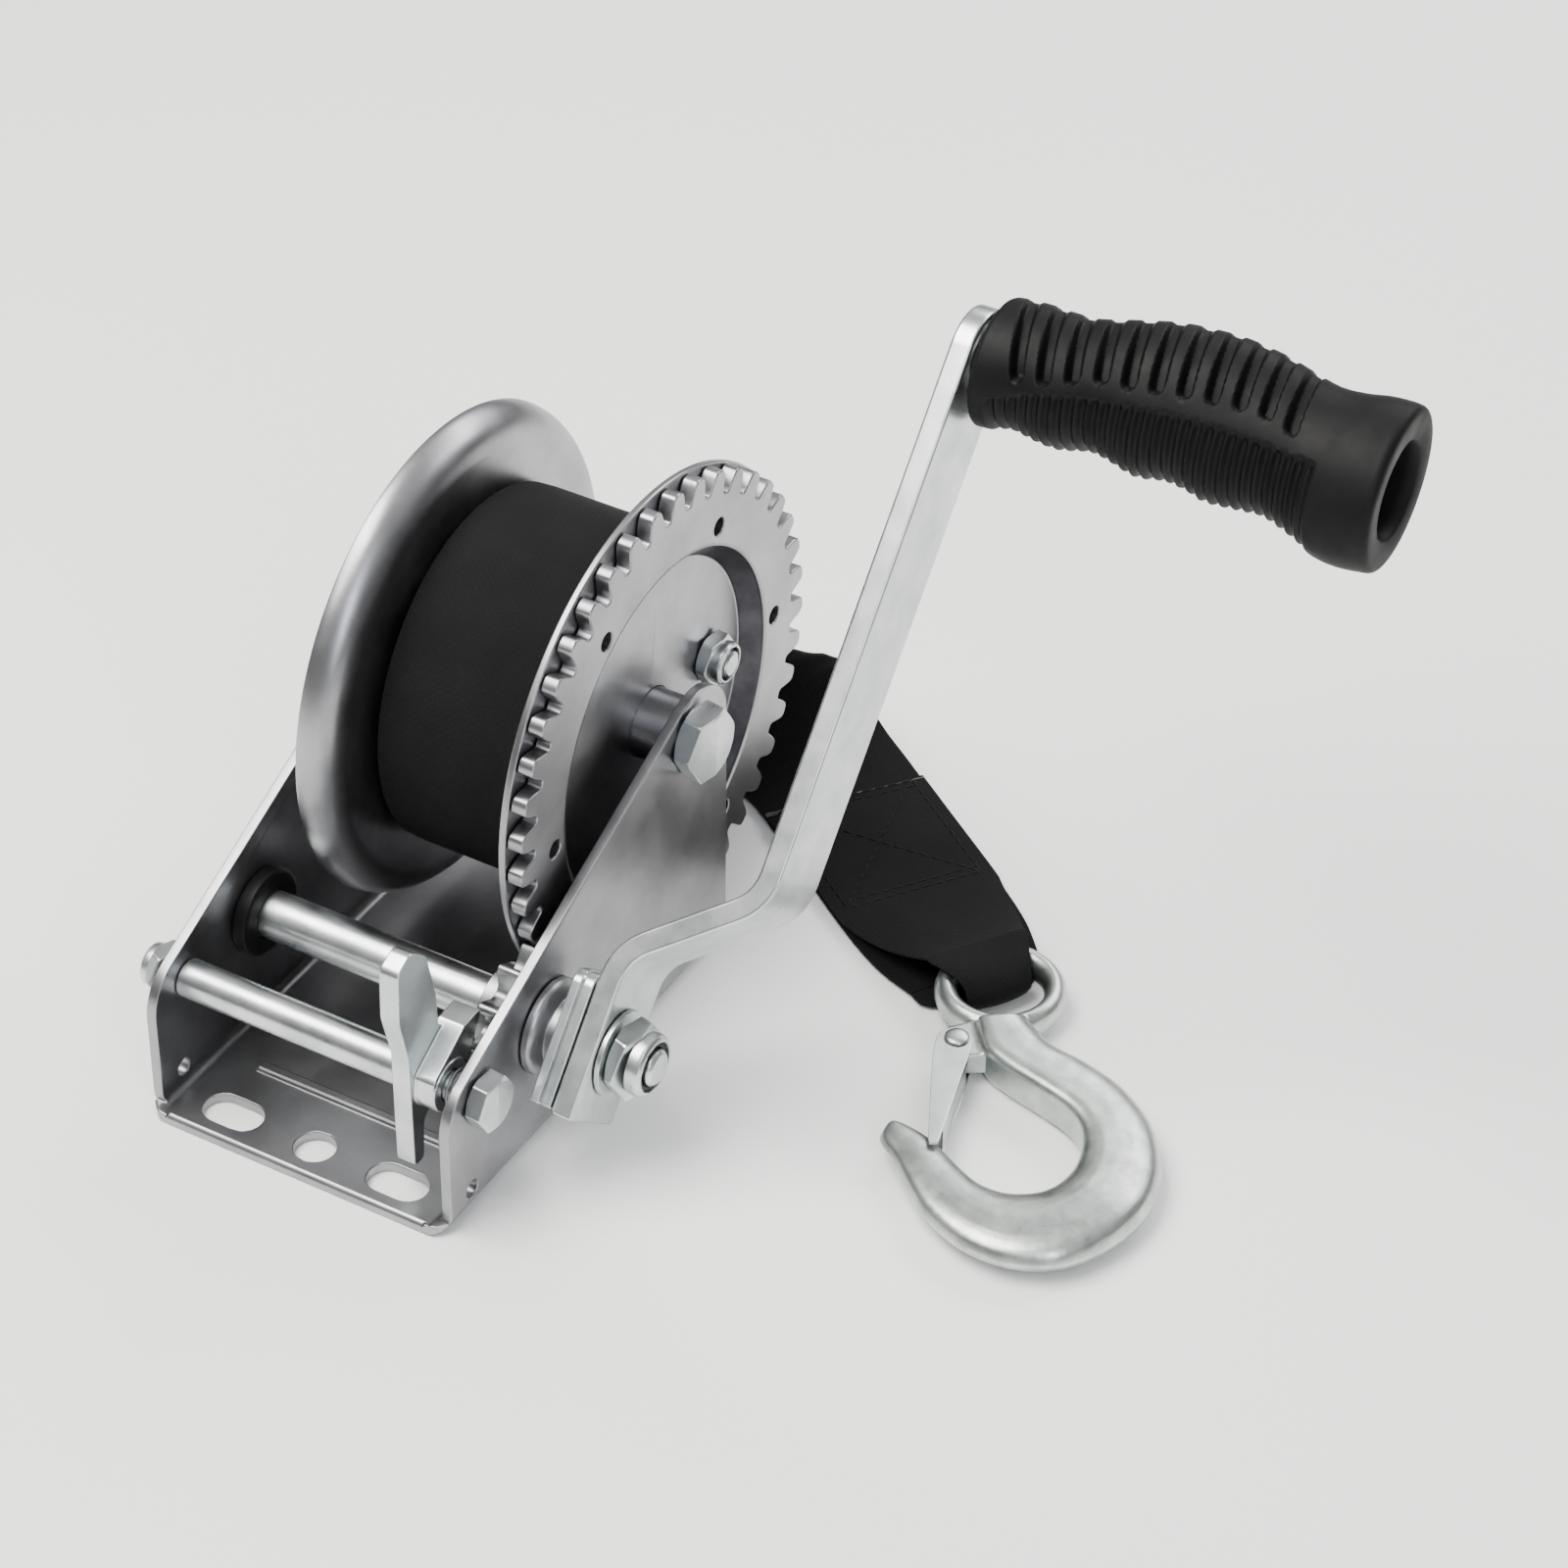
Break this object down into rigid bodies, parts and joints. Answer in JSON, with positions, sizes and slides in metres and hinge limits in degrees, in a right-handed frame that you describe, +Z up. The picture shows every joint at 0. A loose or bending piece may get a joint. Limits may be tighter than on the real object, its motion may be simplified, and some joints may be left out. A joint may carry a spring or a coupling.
{
  "type": "boat trailer winch",
  "caption": "Hand-cranked boat trailer winch: folded steel frame, geared drum with webbing strap, snap hook, joggled crank with ribbed grip, and a pawl lever.",
  "frame": {"origin": "middle of the base's underside", "axes": "+X along the drum towards the crank side, +Y from the open front with the mounting holes to the back under the drum, +Z up from the base"},
  "size_m": [0.2648, 0.2335, 0.2013],
  "materials": {
    "zinc_steel": "zinc-plated sheet steel, satin",
    "bright_zinc": "bright zinc-plated steel",
    "plain_steel": "plain machined steel",
    "black_nylon": "black moulded nylon",
    "black_rubber": "black moulded rubber, matt",
    "black_webbing": "woven black polyester webbing"
  },
  "bodies": {
    "frame": {"frame": "zinc_steel", "drum_bolt": "bright_zinc", "drum_bolt_nut": "bright_zinc", "drum_spacer_left": "bright_zinc", "drum_spacer_right": "bright_zinc", "pinion_bushing_left": "black_nylon", "pinion_bushing_right": "black_nylon", "pawl_bolt": "bright_zinc", "pawl_bolt_nut": "bright_zinc", "pawl_rod_sleeve": "bright_zinc", "pawl_spring": "plain_steel", "strap_tail": "black_webbing", "strap_end_loop": "black_webbing", "hook": "bright_zinc", "latch_rivet": "bright_zinc", "latch_spring": "plain_steel"},
    "drum": {"drum_hub_tube": "zinc_steel", "drum_left_flange": "zinc_steel", "drum_right_flange": "zinc_steel", "gear_wheel": "zinc_steel", "strap_anchor_bolt": "bright_zinc", "strap_anchor_nut": "bright_zinc", "strap_roll": "black_webbing"},
    "crank": {"pinion_shaft": "bright_zinc", "pinion_gear": "plain_steel", "shaft_clip": "plain_steel", "shaft_collar": "zinc_steel", "crank_backing_plate": "bright_zinc", "crank_arm": "bright_zinc", "crank_washer": "bright_zinc", "crank_nut": "bright_zinc", "grip_bolt": "bright_zinc", "grip_head_washer": "bright_zinc", "grip_arm_washer": "bright_zinc"},
    "grip": {"grip": "black_rubber"},
    "pawl": {"pawl": "bright_zinc"},
    "latch": {"hook_latch": "bright_zinc"}
  },
  "joints": [
    {"name": "drum_spin", "type": "hinge", "parent": "frame", "child": "drum", "pos_m": [0, 0.0501, 0.0797], "axis": [1, 0, 0], "continuous": true},
    {"name": "crank_spin", "type": "hinge", "parent": "frame", "child": "crank", "pos_m": [0, -0.01995, 0.03542], "axis": [1, 0, 0], "continuous": true},
    {"name": "grip_spin", "type": "hinge", "parent": "crank", "child": "grip", "pos_m": [0.13, 0.10602, 0.18032], "axis": [1, 0, 0], "continuous": true},
    {"name": "pawl_flip", "type": "hinge", "parent": "frame", "child": "pawl", "pos_m": [0.03, -0.051, 0.0351], "axis": [1, 0, 0], "range_deg": [0, 35], "stiffness_Nm_per_rad": 0.08, "springref_deg": -20.05},
    {"name": "latch_swing", "type": "hinge", "parent": "frame", "child": "latch", "pos_m": [0.12424, 0.05218, 0.0065], "axis": [0, 0, 1], "range_deg": [0, 24], "stiffness_Nm_per_rad": 0.02, "springref_deg": -22.92}
  ],
  "couplings": [
    {"joint": "crank_spin", "follows": "drum_spin", "ratio": -4.1}
  ]
}
